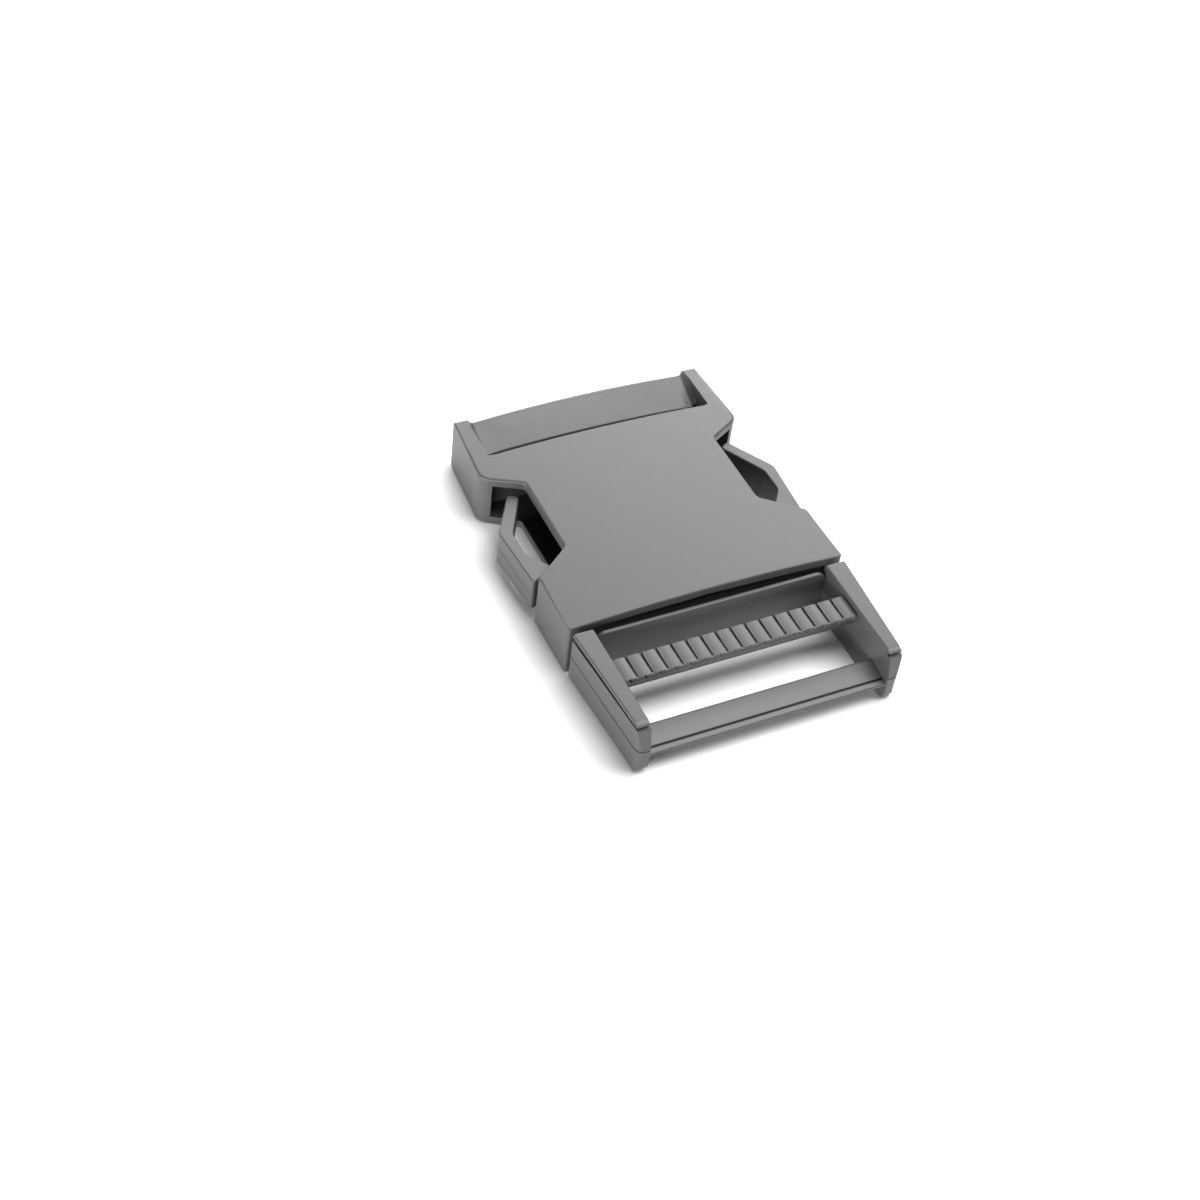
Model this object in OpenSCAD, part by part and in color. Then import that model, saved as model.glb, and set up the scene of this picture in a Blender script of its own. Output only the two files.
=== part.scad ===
// Side release buckle for 50 mm webbing, shown fastened.
// Two mouldings: a hollow socket with a web bar, and a plug with a ladder lock,
// two snap arms and a guide tongue. X runs across, +Y towards the socket's web
// bar, +Z up, and the origin is on the resting face under the middle.

/* [Overall] */
// Width of each side beside the webbing, at the mouth of the socket
cheek_w = 4.8; // [4.4:0.1:7]
// Height at the side edges, from the resting face to the top
body_h = 13; // [12:0.25:16]
// Rise of the domed top in the middle of the socket
crown = 1.2; // [0.4:0.1:2]
// Length of the socket from its mouth to the rear ends of its cheeks
socket_len = 67.4; // [66:0.2:80]
// Length of the plug that stands out in front of the mouth
plug_len = 29.8; // [29:0.2:40]

/* [Webbing] */
// Clear width for the webbing, between the cheeks of both mouldings
web_w = 54.4; // [40:0.2:80]
// Clear depth of the socket's webbing slot
web_slot = 4.6; // [4.2:0.1:6]

/* [Socket shell] */
// Thickness of the top and bottom plates
plate_t = 2.1; // [1.6:0.1:2.6]
// Thickness of the side walls
side_t = 2.8; // [1.8:0.1:3.2]
// Length of the full-width mouth part, along its side
mouth_len = 15.5; // [13:0.25:18]
// How far the side windows are cut in from the side
window_in = 8.8; // [8:0.1:9.6]
// How far the front edge of a window runs back on its way in
window_slant = 6.5; // [5:0.1:8]
// Length of the inner edge of a window
window_len = 20.6; // [19:0.1:22]
// Radius of the window's corners
window_round = 1.2; // [0.4:0.1:2]
// How far the rear edge of a window runs back on its way out
wing_slant = 4.9; // [4:0.1:6]
// Radius of the wing's outer corner
wing_round = 3.5; // [2:0.1:4]
// How far the wings stand in from the width of the mouth
wing_in = 0.4; // [0:0.1:1]
// How far the rear ends of the cheeks stand in from the width of the mouth
rear_in = 1.9; // [0:0.1:2.2]
// Radius of the rear ends of the cheeks, seen from the side
rear_round = 2.2; // [1:0.1:4]
// Radius of the rear ends of the cheeks, seen from above
rear_corner = 1; // [0.4:0.1:1.4]
// Thickness of the wall between the hollow and the webbing slot
web_wall = 3.3; // [2.5:0.1:4]

/* [Socket web bar] */
// Depth of the bar, front to rear
web_bar_d = 8.5; // [7:0.1:9]
// How far the front edge of the bar's face lies below the side edges
web_bar_drop = 3.3; // [2.5:0.1:4.5]
// Slope of the bar's face, in degrees
web_bar_slope = 28; // [18:1:30]
// How far the bar's face falls off from its middle to the line of the sides
web_bar_arch = 1.2; // [0.3:0.1:2]
// Radius of the rear edge of the bar's face
web_bar_round = 1.4; // [0.8:0.1:2]
// Radius of the bar's lower edges
web_bar_low_round = 1.5; // [0.8:0.1:2]
// Radius of the hollow corners where the bar's face meets the cheeks
web_bar_corner = 1.8; // [0.8:0.1:2.4]
// Height of the bar's underside above the resting face
web_bar_lift = 4.5; // [2:0.1:5]
// How far the bar stands in front of the cheeks' rear ends
web_bar_in = 0.6; // [0.2:0.1:2]

/* [Plug cheeks] */
// How far the plug's sides stand back from the socket's sides at the mouth
plug_inset = 0.15; // [0:0.05:0.5]
// How much each side of the plug draws in towards its front
cheek_taper = 1.8; // [0:0.1:2.2]
// Radius of the cheek's nose, seen from above
nose_round = 2; // [1:0.1:2.6]
// Radius of the nose at the top, seen from the side
nose_top = 2.4; // [1:0.1:4]
// How far the nose leans back at the top
nose_slant = 1.5; // [0.5:0.1:2.5]
// Radius of the nose at the foot, seen from the side
nose_foot = 2.5; // [0.6:0.1:3]
// Bevel along the foot of the cheek's outer side
foot_bevel = 0.7; // [0.4:0.1:1.5]
// Thickness of the pad above the groove along the outer side
pad_t = 0.7; // [0.5:0.05:1]
// Depth of that groove
groove_in = 0.5; // [0.3:0.05:0.8]
// Height of that groove at the mouth
groove_h = 1.3; // [0.8:0.1:2]
// Height of that groove at the nose
groove_tip_h = 0.4; // [0.2:0.1:0.8]
// Depth of the parting line round the cheeks
parting_in = 0.15; // [0.05:0.05:0.3]
// Height of the parting line
parting_h = 0.3; // [0.2:0.05:0.5]

/* [Plug ladder bar] */
// Distance from the mouth to the rear edge of the ladder bar
ladder_y = 9.3; // [8.5:0.1:11]
// Depth of the ladder bar, front to rear
ladder_d = 6.5; // [5:0.1:7]
// Thickness of the ladder bar with its ribs
ladder_t = 3.6; // [3:0.1:5]
// How far the ribs lie below the top
ladder_drop = 1.2; // [0.6:0.1:2]
// Radius of the ribs' front edge, at the top
ladder_round = 0.8; // [0.4:0.1:0.9]
// Thickness of the ribs' front ends, which stand out over the bar below them
tooth_t = 1.1; // [1:0.05:1.5]
// How far they stand out
tooth_out = 0.9; // [0.4:0.05:1.2]
// Number of ribs
rib_count = 16; // [8:1:24]
// Width of the grooves between the ribs
rib_gap = 0.5; // [0.3:0.05:1]
// Depth of those grooves
rib_h = 0.6; // [0.4:0.05:1.2]
// How far those grooves end behind the bar's front edge
rib_front = 0.7; // [0.4:0.1:2]
// How far each rib falls off from its middle to its sides
rib_crown = 0.3; // [0.1:0.05:0.6]
// Width of the notch in the front end of each rib
notch_w = 1.3; // [0.6:0.1:1.8]
// Depth of that notch
notch_in = 0.55; // [0.2:0.05:0.8]

/* [Plug front bar] */
// How far the front bar stands back from the tip of the nose
front_bar_in = 0.4; // [0.2:0.1:1]
// Depth of the front bar, front to rear
front_bar_d = 6.7; // [5.5:0.1:7.5]
// Height of the front bar's rear edge above the resting face
front_bar_top = 6.2; // [5.8:0.1:8]
// How much the front bar's face falls towards the front
front_bar_fall = 0.9; // [0.3:0.1:1.2]
// Height of the front bar's underside above the resting face
front_bar_lift = 3; // [2:0.1:3.2]
// Width of the rounded lip along the front bar
lip_w = 1.4; // [1.3:0.1:2.4]
// Width of the groove behind the lip
lip_groove_w = 0.7; // [0.5:0.05:1]
// Depth of that groove
lip_groove = 0.8; // [0.4:0.05:0.9]
// How far the lip's front edge lies below its rear edge
lip_fall = 0.4; // [0.2:0.05:0.5]
// Height of the lip's front face
lip_h = 0.6; // [0.5:0.05:1]
// How far the underside slopes back from the lip
lip_under = 2.5; // [1:0.1:3.5]

/* [Plug wall] */
// Distance from the mouth to the rear face of the upright wall
wall_y = 1.6; // [1.4:0.1:3]
// Thickness of the upright wall
wall_t = 1; // [0.8:0.1:2]
// How far the wall's rim lies below the top
wall_drop = 1; // [0.5:0.1:2]
// Radius of the wall's upper corners
wall_round = 2.6; // [1:0.1:4]
// Depth of the block that carries the arms and tongue, inside the mouth
base_in = 4.5; // [3:0.25:6]
// How far that block's front stands back inside the mouth
base_back = 0.8; // [0.4:0.1:2]
// Height of the neck between the block and the wall
neck_h = 5; // [3:0.25:7]

/* [Plug arms] */
// Thickness of an arm inside the mouth
arm_t = 3.2; // [2.5:0.1:4]
// How far an arm stands out past the socket's side, at its shoulder
arm_out = 0.4; // [0.2:0.1:0.8]
// How far it stands out at its knee
arm_bulge = 1.5; // [0.8:0.1:1.8]
// Thickness of an arm at its knee
arm_knee_t = 3; // [2.2:0.1:3.6]
// Thickness of an arm at its tip
arm_tip_t = 2.7; // [1.8:0.1:3]
// Distance from the rear corner of the window forward to the arm's knee
arm_knee_y = 10; // [9:0.1:12]
// How far the arm's tip reaches in from the socket's side
arm_tip_in = 5; // [3.5:0.1:5.5]
// How far the arm's tip reaches past the rear corner of the window
arm_tip_y = 0.7; // [0.2:0.1:1.5]
// Radius of the bends of an arm
arm_bend = 3; // [1:0.1:4]
// Radius of an arm's tip
arm_tip_round = 1; // [0.4:0.1:1.2]

/* [Guide tongue] */
// Width of the tongue
tongue_w = 14; // [8:0.5:24]
// Height of the tongue
tongue_h = 5; // [3:0.25:7]
// Length of the tongue inside the socket
tongue_len = 38; // [25:0.5:44]
// Radius of the tongue's corners
tongue_round = 3; // [1:0.5:4]

/* [Fits] */
// Air between the mouth and the plug's cheeks
joint_gap = 1.2; // [0.5:0.1:1.3]
// Air between the plug and the inside of the socket
fit_gap = 0.25; // [0.2:0.05:0.4]
// Air between an arm's shoulder and the edge that it catches on
latch_gap = 0.45; // [0.3:0.05:0.8]
// Air there at the rounded outer corner of the socket
latch_gap_out = 1.2; // [0.6:0.1:1.5]

/* [Hidden] */

// Steps in each rounded corner, strips in the domed top and in half a rib's crown
corner_steps = 8;
dome_steps = 16;
rib_steps = 3;
// Strips in the hollow corners of the web bar's face
hollow_steps = 5;
// How far cutting bodies run past what they cut
past = 2;
// How much longer a bar is than the space between the cheeks that carry it
root = 1.4;
// Radii of small moulded corners
edge_r = 0.6;
fine_r = 0.3;

half_web = web_w / 2;
half_w = half_web + cheek_w;
// Width of bodies that run past both sides
full_w = 2 * (half_w + past);
cavity_x = half_w - side_t;
window_x = half_w - window_in;
window_y = mouth_len + window_slant;
wing_y = window_y + window_len;
rear_y = socket_len - web_bar_in;
bar_y = rear_y - web_bar_d;
slot_y = bar_y - web_slot;
top_z = body_h + crown;
cheek_z = top_z - crown * pow(half_web / half_w, 2);

plug_x = half_w - plug_inset;
nose_x = plug_x - cheek_taper;
taper_angle = atan(cheek_taper / plug_len);
inside_lo = plate_t + fit_gap;
inside_hi = body_h - plate_t - fit_gap;
inside_x = cavity_x - fit_gap;

// Place of the mouth, with the whole buckle centred on the origin
mouth_y = (plug_len - socket_len) / 2;

function unit(v) = v / norm(v);

// Points of one corner b between a and c, rounded with radius r
function corner(a, b, c, r) =
    let (
        u = unit(a - b),
        v = unit(c - b),
        half = acos(u * v) / 2,
        centre = b + unit(u + v) * r / sin(half),
        from = b + u * r / tan(half) - centre,
        turn = (180 - 2 * half) * (u[0] * v[1] - u[1] * v[0] > 0 ? -1 : 1)
    )
    r == 0 ? [b] : [
        for (i = [0:corner_steps])
            let (t = turn * i / corner_steps)
            centre + [from[0] * cos(t) - from[1] * sin(t), from[0] * sin(t) + from[1] * cos(t)]
    ];

function place(row) = [row[0], row[1]];

// A closed outline from rows of two coordinates and a corner radius
function outline(rows) = let (n = len(rows)) [
    for (i = [0:n - 1])
        each corner(place(rows[(i + n - 1) % n]), place(rows[i]), place(rows[(i + 1) % n]), rows[i][2])
];

function mirrored(rows) = [for (i = [len(rows) - 1:-1:0]) [-rows[i][0], rows[i][1], rows[i][2]]];

// A plate from rows of x, y and corner radius
module plate(rows, z, height) {
    translate([0, 0, z])
        linear_extrude(height) polygon(outline(rows));
}

// A bar along X from rows of y, z and corner radius, centred
module along_x(rows, width) {
    rotate([90, 0, 90])
        translate([0, 0, -width / 2])
            linear_extrude(width) polygon(outline(rows));
}

// A bar along Y from points of x and z, between two places
module along_y(points, y0, y1) {
    translate([0, y1, 0])
        rotate([90, 0, 0])
            linear_extrude(y1 - y0) polygon(points);
}

// Points of a shallow arch from -x to x that falls by drop at the line of the sides
function arch(x, height, drop) = [
    for (i = [-dome_steps / 2:dome_steps / 2])
        let (xi = x * 2 * i / dome_steps) [xi, height - drop * pow(xi / half_w, 2)]
];

// Everything between z0 and the domed top less a depth
module under_dome(less, x, z0, y0, y1) {
    along_y(concat([[x, z0], [-x, z0]], arch(x, top_z - less, crown)), y0, y1);
}

// Plan of the socket's right half, in x, y and corner radius
socket_half = [
    [half_w, 0, edge_r],
    [half_w, mouth_len, window_round],
    [window_x, window_y, window_round],
    [window_x, wing_y, window_round],
    [half_w - wing_in, wing_y + wing_slant, wing_round],
    [half_w - rear_in, socket_len, min(rear_corner, (cheek_w - rear_in) / 2)]
];

// The shell's side view in y, z and corner radius, with the cheeks' rear ends rounded
shell_side = [
    [-past, 0, 0],
    [-past, top_z + past, 0],
    [bar_y, top_z + past, 0],
    [bar_y, cheek_z, 0],
    [socket_len, cheek_z, rear_round],
    [socket_len, 0, rear_round]
];

// What the socket's side view and its dome leave
module shell_bounds() {
    intersection() {
        along_x(shell_side, full_w);
        under_dome(0, half_w + past, 0, -past, socket_len + past);
    }
}

// Half of the web bar's face across the webbing, from its middle into the cheek
function face_half() =
    let (x0 = half_web - web_bar_corner, n = dome_steps / 2)
    concat(
        [for (i = [0:n]) let (x = x0 * i / n) [x, -web_bar_arch * pow(x / half_w, 2)]],
        [
            for (i = [1:hollow_steps])
                let (t = 90 * i / hollow_steps, x = x0 + web_bar_corner * sin(t))
                [x, web_bar_corner * (1 - cos(t)) - web_bar_arch * pow(x / half_w, 2)]
        ],
        [[half_w, web_bar_corner]]
    );

// Points on both sides of the middle from those on one side
function both_ways(half) = concat([for (i = [len(half) - 1:-1:1]) [-half[i][0], half[i][1]]], half);

// Bar that the webbing is sewn round, with a sloping and arched face
module web_bar() {
    r = web_bar_round;
    y = rear_y - r;
    z = body_h - web_bar_drop + (y - bar_y) * tan(web_bar_slope) - r / cos(web_bar_slope);
    section = [
        [bar_y, web_bar_lift, web_bar_low_round],
        [bar_y, top_z, 0],
        [rear_y, top_z, 0],
        [rear_y, web_bar_lift, web_bar_low_round]
    ];
    under_face = concat([[half_w, -body_h], [-half_w, -body_h]], both_ways(face_half()));
    difference() {
        intersection() {
            along_x(section, web_w + root);
            // The face, then the tangents of its rounded rear edge, by their slopes
            intersection_for (slope = [web_bar_slope, 8, -12, -32, -52, -72])
                translate([0, y - r * sin(slope), z + r * cos(slope)])
                    rotate([slope, 0, 0])
                        along_y(under_face, -2 * web_bar_d, 2 * web_bar_d);
        }
        // The hollow corners end at the outline of the cheeks
        for (side = [0, 1])
            mirror([side, 0, 0])
                difference() {
                    translate([half_web - web_bar_corner, bar_y - past, body_h / 2])
                        cube([web_bar_corner + root, web_bar_d + 2 * past, body_h]);
                    shell_bounds();
                }
    }
}

module socket() {
    color("dimgray")
        translate([0, mouth_y, 0]) {
            difference() {
                intersection() {
                    plate(concat(socket_half, mirrored(socket_half)), 0, top_z + past);
                    shell_bounds();
                }
                under_dome(plate_t, cavity_x, plate_t, -past, slot_y - web_wall);
                translate([-half_web, slot_y, -past])
                    cube([web_w, socket_len, top_z + 2 * past]);
            }
            web_bar();
        }
}

// Plan of the right cheek with its outer side and its nose drawn in, in x, y and corner radius
function cheek_plan(in, back) = let (x = nose_x - in + cheek_taper * back / plug_len) [
    [half_web, -joint_gap, 0],
    [plug_x - in, -joint_gap, edge_r],
    [x, back - plug_len, min(nose_round, (x - half_web) * 2 / 3)],
    [half_web, back - plug_len, fine_r]
];

// What a groove cuts out of the right cheek: a band of rows in y and z, to a depth
// from the side, and from the nose where that stands back
module groove(rows, depth, back) {
    difference() {
        along_x(rows, full_w);
        plate(cheek_plan(depth, back + depth), -past, body_h + 2 * past);
    }
}

// Right cheek of the ladder lock: a pad over a grooved side, with a rounded nose
module cheek() {
    middle = body_h / 2;
    pad_z = body_h - pad_t;
    // Where the leaning and rounded nose stands at the pad's underside
    pad_back = nose_slant * (pad_z - middle) / middle + nose_top - sqrt(pow(nose_top, 2) - pow(nose_top - pad_t, 2));
    side = [
        [-joint_gap, 0, edge_r],
        [-joint_gap, body_h, edge_r],
        [nose_slant - plug_len, body_h, nose_top],
        [-plug_len, middle, nose_top],
        [-plug_len, 0, nose_foot]
    ];
    pad_groove = [
        [past, pad_z, 0],
        [past, pad_z - groove_h, 0],
        [-plug_len - past, pad_z - groove_tip_h, 0],
        [-plug_len - past, pad_z, 0]
    ];
    parting = [
        [past, middle + parting_h / 2, 0],
        [past, middle - parting_h / 2, 0],
        [-plug_len - past, middle - parting_h / 2, 0],
        [-plug_len - past, middle + parting_h / 2, 0]
    ];
    across = [[-foot_bevel, 0], [0, foot_bevel], [0, body_h], [-half_w, body_h], [-half_w, 0]];
    difference() {
        intersection() {
            plate(cheek_plan(0, 0), 0, body_h);
            along_x(side, full_w);
            translate([plug_x, 0, 0])
                rotate([0, 0, -taper_angle]) along_y(across, -2 * plug_len, past);
        }
        groove(pad_groove, groove_in, pad_back);
        groove(parting, parting_in, 0);
    }
}

// Top of the ladder bar across the webbing: a row of crowned ribs
function rib_line(pitch, top) = [
    for (i = [0:2 * rib_steps * rib_count])
        let (u = (i / rib_steps) % 2 - 1)
        [i * pitch / (2 * rib_steps) - half_web, top - rib_crown * u * u]
];

// Bar with ribs along the webbing, whose front ends bite into its loop
module ladder_bar() {
    top = body_h - ladder_drop;
    rear = -ladder_y;
    front = rear - ladder_d;
    across = half_web + root / 2;
    section = [
        [front + tooth_out, top - ladder_t, edge_r],
        [rear, top - ladder_t, edge_r],
        [rear, top, edge_r],
        [front, top, ladder_round],
        [front, top - tooth_t, 0],
        [front + tooth_out, top - tooth_t, 0]
    ];
    base_line = [[across, top - rib_h], [across, 0], [-across, 0], [-across, top - rib_h]];
    pitch = web_w / rib_count;
    notch = [
        [-notch_w / 2, -past],
        [-notch_w / 2, 0],
        [-notch_w / 5, notch_in / 3],
        [0, notch_in],
        [notch_w / 5, notch_in / 3],
        [notch_w / 2, 0],
        [notch_w / 2, -past]
    ];
    difference() {
        intersection() {
            along_x(section, 2 * across);
            along_y(concat(base_line, rib_line(pitch, top)), front - past, rear + past);
        }
        // Grooves between the ribs, which stop short of the bar's front edge
        for (i = [0:rib_count])
            translate([i * pitch - half_web - rib_gap / 2, front + rib_front, top - rib_h])
                cube([rib_gap, ladder_d + past, rib_h + past]);
        // Notches in the front ends of the ribs, so that the edge is a row of teeth
        for (i = [0:rib_count - 1])
            translate([(i + 0.5) * pitch - half_web, front, 0])
                linear_extrude(body_h) polygon(notch);
    }
}

// Low bar across the front, with a sloping face, a groove and a rounded lip
module front_bar() {
    front = front_bar_in - plug_len;
    rear = front + front_bar_d;
    lip_z = front_bar_top - front_bar_fall;
    section = [
        [rear, front_bar_lift, edge_r],
        [rear, front_bar_top, edge_r],
        [front + lip_w + lip_groove_w / 2, lip_z, 0],
        [front + lip_w + lip_groove_w / 2, lip_z - lip_groove, 0],
        [front + lip_w - lip_groove_w / 4, lip_z - lip_groove, 0],
        [front + lip_w - lip_groove_w / 2, lip_z, fine_r / 2],
        [front, lip_z - lip_fall, fine_r],
        [front, lip_z - lip_fall - lip_h, fine_r],
        [front + lip_under, front_bar_lift, 0]
    ];
    along_x(section, web_w + root);
}

// Upright wall behind the ladder bar, and the block inside the mouth
module base() {
    rim_z = body_h - wall_drop;
    across = half_web + root / 2;
    rim = [
        [-half_web, inside_lo, 0],
        [half_web, inside_lo, 0],
        [half_web, rim_z, wall_round],
        [-half_web, rim_z, wall_round]
    ];
    along_y(outline(rim), -wall_y - wall_t, -wall_y);
    translate([-across, -wall_y - wall_t, inside_lo])
        cube([2 * across, wall_y + wall_t - joint_gap, rim_z - wall_round - inside_lo]);
    translate([-half_web, -wall_y, inside_lo])
        cube([web_w, wall_y + base_in, neck_h]);
    translate([-inside_x, base_back, inside_lo])
        cube([2 * inside_x, base_in - base_back, inside_hi - inside_lo]);
}

// Right arm: a stem in the mouth, a shoulder that catches, a bowed pad and a tip
module arm() {
    slope = window_slant / window_in;
    catch_y = mouth_len + slope * (half_w - inside_x) + latch_gap;
    knee = [half_w + arm_bulge, wing_y - arm_knee_y];
    tip = [half_w - arm_tip_in, wing_y + arm_tip_y];
    lean = unit(tip - knee);
    tip_in = tip + [-lean[1], lean[0]] * arm_tip_t;
    stem_x = inside_x - arm_t;
    plan = [
        [inside_x, base_back, 0],
        [inside_x, catch_y, fine_r],
        [half_w + arm_out, mouth_len + latch_gap_out, edge_r],
        [knee[0], knee[1], arm_bend],
        [tip[0], tip[1], arm_tip_round],
        [tip_in[0], tip_in[1], arm_tip_round],
        [knee[0] - arm_knee_t, knee[1] - arm_knee_t / 3, arm_bend],
        [knee[0] - arm_knee_t, window_y + arm_t, arm_bend],
        [stem_x, window_y - arm_t, arm_bend],
        [stem_x, base_back, 0]
    ];
    plate(plan, inside_lo, inside_hi - inside_lo);
}

// Guide tongue down the middle of the socket
module tongue() {
    half = tongue_w / 2;
    plan = [
        [-half, base_back, 0],
        [half, base_back, 0],
        [half, tongue_len, tongue_round],
        [-half, tongue_len, tongue_round]
    ];
    plate(plan, (body_h - tongue_h) / 2, tongue_h);
}

module plug() {
    color("gray")
        translate([0, mouth_y, 0]) {
            for (side = [0, 1])
                mirror([side, 0, 0]) {
                    cheek();
                    arm();
                }
            ladder_bar();
            front_bar();
            base();
            tongue();
        }
}

socket();
plug();
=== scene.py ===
"""Side release buckle for 50 mm webbing, fastened, on a white floor.

Two injection mouldings in dark grey nylon: the socket with its web bar, and the
plug with its ladder lock and snap arms. Both lie flat, as they were packed.
"""

import math

import bmesh
import bpy
from mathutils import Matrix, Vector


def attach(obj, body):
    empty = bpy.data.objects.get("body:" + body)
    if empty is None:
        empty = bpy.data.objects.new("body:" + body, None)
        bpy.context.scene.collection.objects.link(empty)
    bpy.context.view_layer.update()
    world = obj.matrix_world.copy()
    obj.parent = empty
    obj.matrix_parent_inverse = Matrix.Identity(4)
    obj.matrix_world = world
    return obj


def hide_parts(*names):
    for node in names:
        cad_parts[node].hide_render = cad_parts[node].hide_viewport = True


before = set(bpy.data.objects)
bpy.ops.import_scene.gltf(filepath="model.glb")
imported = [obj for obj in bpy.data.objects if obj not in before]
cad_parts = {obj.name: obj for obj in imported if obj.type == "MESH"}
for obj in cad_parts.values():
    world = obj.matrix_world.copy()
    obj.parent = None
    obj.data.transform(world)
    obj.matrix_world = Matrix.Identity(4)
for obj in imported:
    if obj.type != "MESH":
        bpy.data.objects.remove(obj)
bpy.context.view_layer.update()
mm = 0.001

# The socket: the hollow female half, one injection moulding in nylon. Its outer
# edges are rounded by about half a millimetre in the mould, and the edges of the
# hollow, which its core made, are left crisper.


def skin_of(node):
    """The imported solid's skin, merged, with each flat face in one piece."""
    merge_gap, sliver_width = 0.03 * mm, 0.01 * mm
    flat_within = math.radians(0.4)
    form = bmesh.new()
    form.from_mesh(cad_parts[node].data)
    bmesh.ops.remove_doubles(form, verts=form.verts, dist=merge_gap)
    bmesh.ops.dissolve_degenerate(form, dist=sliver_width, edges=form.edges)
    bmesh.ops.dissolve_limit(form, angle_limit=flat_within, verts=form.verts, edges=form.edges)
    return form


def within(x, y, z):
    """A test of places in millimetres: do they lie in this region, on either side?"""
    return lambda p: x[0] <= abs(p.x) <= x[1] and y[0] <= p.y <= y[1] and z[0] <= p.z <= z[1]


def round_edges(form, radius, steps, where):
    """Rounds the sharp edges whose middle passes the test of places."""
    crease = math.radians(28)
    sharp = [edge for edge in form.edges
             if len(edge.link_faces) == 2 and edge.calc_face_angle() > crease
             and where((edge.verts[0].co + edge.verts[1].co) / (2 * mm))]
    bmesh.ops.bevel(form, geom=sharp, offset=radius * mm, offset_type="OFFSET", segments=steps,
                    profile=0.5, affect="EDGES", clamp_overlap=False, loop_slide=True, material=-1)


def finish_piece(form, name, node, material):
    """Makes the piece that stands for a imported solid, and hangs it on the part."""
    crisp_from = math.radians(32)
    mesh = bpy.data.meshes.new(name)
    form.to_mesh(mesh)
    form.free()
    mesh.shade_smooth()
    mesh.set_sharp_from_angle(angle=crisp_from)
    mesh.materials.append(material)
    piece = bpy.data.objects.new(name, mesh)
    bpy.context.scene.collection.objects.link(piece)
    normals = piece.modifiers.new("flat faces stay flat", "WEIGHTED_NORMAL")
    normals.keep_sharp = True
    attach(piece, "root")
    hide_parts(node)


def set_inputs(node, values):
    """Sets a shader node's inputs by name, and gives the node back."""
    for name, value in values.items():
        node.inputs[name].default_value = value
    return node


def nylon(name):
    """Dark grey nylon from a finely grained mould: a broad soft gloss, mottled a little."""
    tone, darkest, lightest, blue = 0.058, 0.96, 1.03, 0.03
    material = bpy.data.materials.new(name)
    material.use_nodes = True
    nodes, links = material.node_tree.nodes, material.node_tree.links
    shader = set_inputs(nodes["Principled BSDF"], {"IOR": 1.53})
    place = nodes.new("ShaderNodeTexCoord")
    mottle = set_inputs(nodes.new("ShaderNodeTexNoise"),
                        {"Scale": 260.0, "Detail": 5.0, "Roughness": 0.6})
    colour = nodes.new("ShaderNodeValToRGB")
    stops = zip(colour.color_ramp.elements, (0.3, 0.7), (darkest, lightest))
    for stop, position, share in stops:
        stop.position = position
        stop.color = (tone * share, tone * share, tone * (share + blue), 1)
    rough = set_inputs(nodes.new("ShaderNodeMapRange"), {"To Min": 0.38, "To Max": 0.48})
    pits = set_inputs(nodes.new("ShaderNodeTexNoise"),
                      {"Scale": 4200.0, "Detail": 3.0, "Roughness": 0.6})
    bump = set_inputs(nodes.new("ShaderNodeBump"), {"Strength": 0.5, "Distance": 0.02 * mm})
    links.new(place.outputs["Object"], mottle.inputs["Vector"])
    links.new(mottle.outputs["Fac"], colour.inputs["Fac"])
    links.new(colour.outputs["Color"], shader.inputs["Base Color"])
    links.new(mottle.outputs["Fac"], rough.inputs["Value"])
    links.new(rough.outputs["Result"], shader.inputs["Roughness"])
    links.new(place.outputs["Object"], pits.inputs["Vector"])
    links.new(pits.outputs["Fac"], bump.inputs["Height"])
    links.new(bump.outputs["Normal"], shader.inputs["Normal"])
    return material


socket = skin_of("socket")
hollow = within(x=(0, 29.4), y=(-99, 32), z=(2, 12.15))
top_edges = within(x=(0, 40), y=(-17, 46), z=(12.6, 15))
# These two are left as packed: their faces are too narrow for a rounding.
corners = within(x=(24.9, 28.1), y=(39.4, 49), z=(8.5, 14))
cheek_ends = within(x=(27.1, 33), y=(46, 49), z=(-1, 14))
round_edges(socket, radius=0.2, steps=2, where=hollow)
round_edges(socket, radius=0.6, steps=4, where=lambda p: top_edges(p) and not corners(p))
round_edges(socket, radius=0.4, steps=3, where=lambda p: not any(
    region(p) for region in (hollow, top_edges, corners, cheek_ends)))
finish_piece(socket, "socket_shell", "socket", nylon("socket nylon"))

# The plug: the male half, a second moulding in the same nylon, pushed home until
# its arms snap into the windows. Its edges are rounded by the mould, and a line
# of flash is left round the outside of each arm, where the mould's halves met.
plug = skin_of("plug")
arms = within(x=(22, 40), y=(-4, 40), z=(2, 11))
pad_tops = within(x=(27.1, 40), y=(-60, -19.9), z=(12.6, 14))
wall_top = within(x=(0, 27.3), y=(-21.5, -20.3), z=(9.2, 13))
round_edges(plug, radius=0.4, steps=3, where=arms)
round_edges(plug, radius=0.35, steps=3, where=pad_tops)
round_edges(plug, radius=0.3, steps=3, where=wall_top)

flash_z, flash_width, flash_height = 6.5, 0.34, 0.15
flash_taper = 0.8  # share of its width that the flash loses up to its crest
least_outward = 0.2  # part of a face's normal that points away from the middle


def with_rims(faces):
    """The faces with their edges and corners, as the operators take them."""
    return list(dict.fromkeys(part for face in faces for part in (face, *face.edges, *face.verts)))


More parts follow.
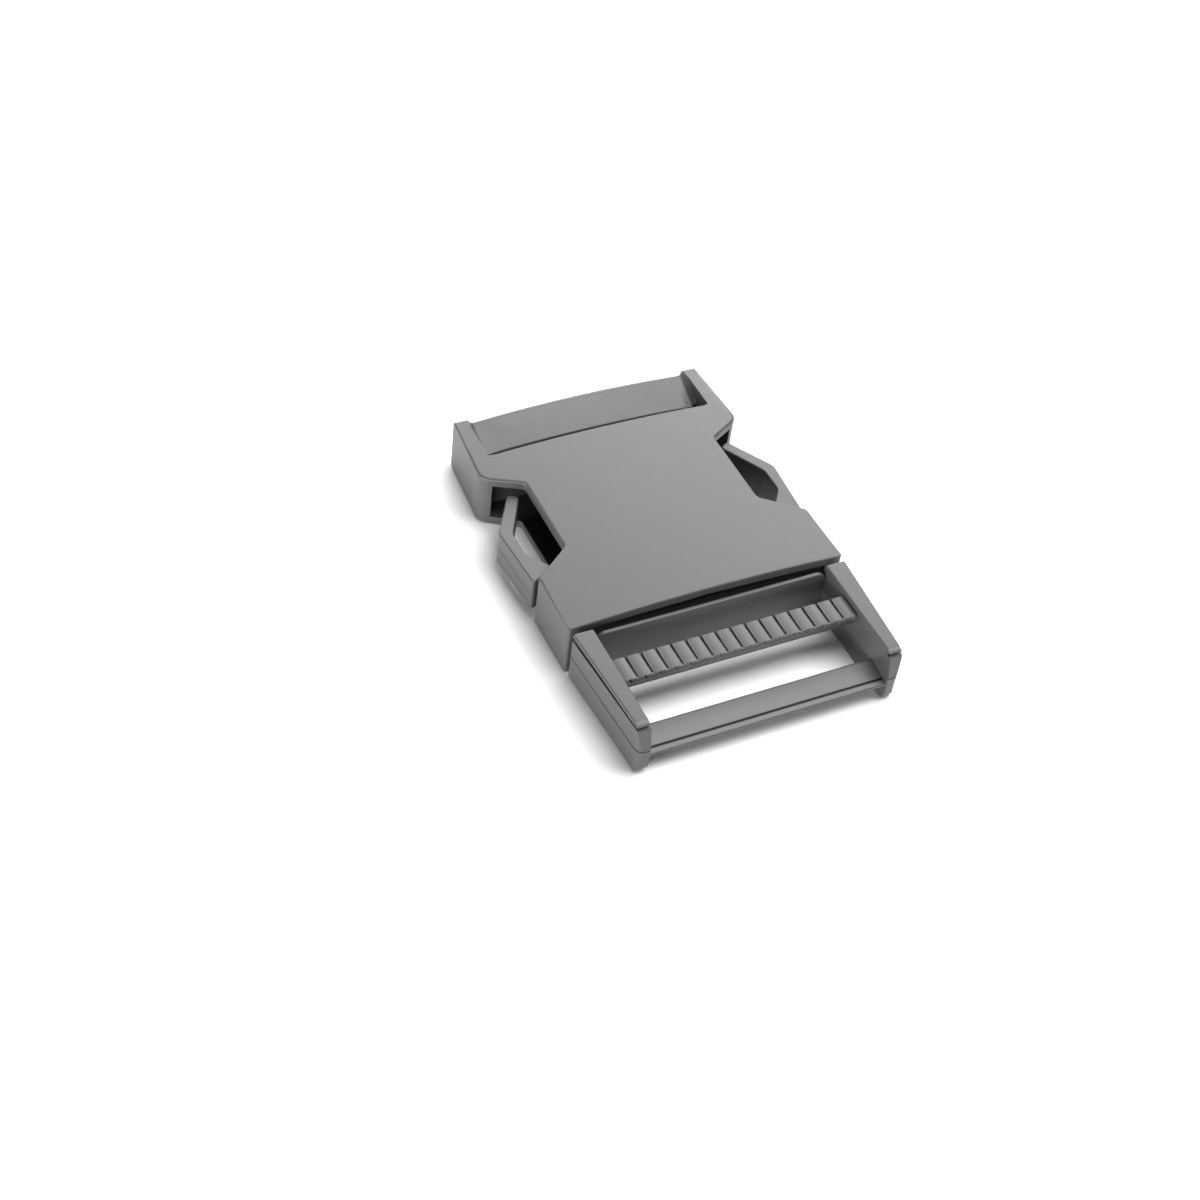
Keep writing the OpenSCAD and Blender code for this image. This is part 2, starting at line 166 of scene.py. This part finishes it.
for height in (flash_z - flash_width / 2, flash_z + flash_width / 2):
    sides = [face for face in plug.faces if arms(face.calc_center_median() / mm)]
    bmesh.ops.bisect_plane(plug, geom=with_rims(sides), dist=0.001 * mm,
                           plane_co=(0, 0, height * mm), plane_no=(0, 0, 1))
band = []
for face in plug.faces:
    middle = face.calc_center_median() / mm
    outward = face.normal.x * math.copysign(1, middle.x)
    level = abs(middle.z - flash_z) < flash_width / 2
    if arms(middle) and level and outward > least_outward:
        band.append(face)
raised = bmesh.ops.extrude_face_region(plug, geom=with_rims(band))["geom"]
for vert in [part for part in raised if isinstance(part, bmesh.types.BMVert)]:
    vert.co.x += math.copysign(flash_height * mm, vert.co.x)
    vert.co.z += flash_taper * (flash_z * mm - vert.co.z)
finish_piece(plug, "plug_body", "plug", nylon("plug nylon"))

# Floor and camera: a sheet of matt white board, which runs far past the view, and the
# camera at the photograph's place: left of the front and above, with a 60 mm lens.
board = bmesh.new()
bmesh.ops.create_grid(board, x_segments=2, y_segments=2, size=3.0)
board_mesh = bpy.data.meshes.new("board")
board.to_mesh(board_mesh)
board.free()
floor = bpy.data.objects.new("board", board_mesh)
bpy.context.scene.collection.objects.link(floor)
paper = bpy.data.materials.new("matt board")
paper.use_nodes = True
set_inputs(paper.node_tree.nodes["Principled BSDF"],
           {"Base Color": (0.9, 0.9, 0.9, 1), "Roughness": 0.9})
board_mesh.materials.append(paper)

eye = bpy.data.cameras.new("camera")
eye.lens = 60.0
eye.shift_x = 0.0367
eye.shift_y = -0.0017
eye.clip_start = 0.01
camera = bpy.data.objects.new("camera", eye)
bpy.context.scene.collection.objects.link(camera)
stand = Matrix.Translation((-0.16938, -0.26114, 0.30513))
right = Vector((0.90963, -0.40753, 0.08058))
up = Vector((0.24121, 0.67605, 0.69625))
turn = Matrix((right, up, right.cross(up))).transposed()
camera.matrix_world = stand @ turn.to_4x4()
bpy.context.scene.camera = camera

# Lights: a soft box overhead, a broad one behind the right, which the tops mirror, a
# low strip at the left, and a room whose walls are white under a dark ceiling.


def soft_box(name, place, width, height, watts):
    """A soft box that faces the middle of the floor."""
    lamp = bpy.data.lights.new(name, "AREA")
    lamp.shape = "RECTANGLE"
    lamp.size = width
    lamp.size_y = height
    lamp.energy = watts
    box = bpy.data.objects.new(name, lamp)
    box.location = place
    box.rotation_mode = "QUATERNION"
    box.rotation_quaternion = Vector(place).to_track_quat("Z", "Y")
    bpy.context.scene.collection.objects.link(box)


soft_box("overhead box", place=(0.36, -0.12, 0.95), width=0.6, height=0.9, watts=15.0)
soft_box("back box", place=(0.45, 0.95, 0.62), width=1.3, height=0.8, watts=19.5)
soft_box("low box", place=(-0.95, -0.45, 0.12), width=1.4, height=0.2, watts=18.0)
room = bpy.data.worlds.new("pale room")
room.use_nodes = True
walls = room.node_tree
glow = set_inputs(walls.nodes["Background"], {"Color": (1, 1, 1, 1)})
heading = walls.nodes.new("ShaderNodeTexCoord")
rise = walls.nodes.new("ShaderNodeSeparateXYZ")
fade = set_inputs(walls.nodes.new("ShaderNodeMapRange"),
                  {"From Min": 0.02, "From Max": 0.25, "To Min": 1.0, "To Max": 0.05})
walls.links.new(heading.outputs["Generated"], rise.inputs["Vector"])
walls.links.new(rise.outputs["Z"], fade.inputs["Value"])
walls.links.new(fade.outputs["Result"], glow.inputs["Strength"])
bpy.context.scene.world = room
bpy.context.scene.view_settings.view_transform = "Standard"
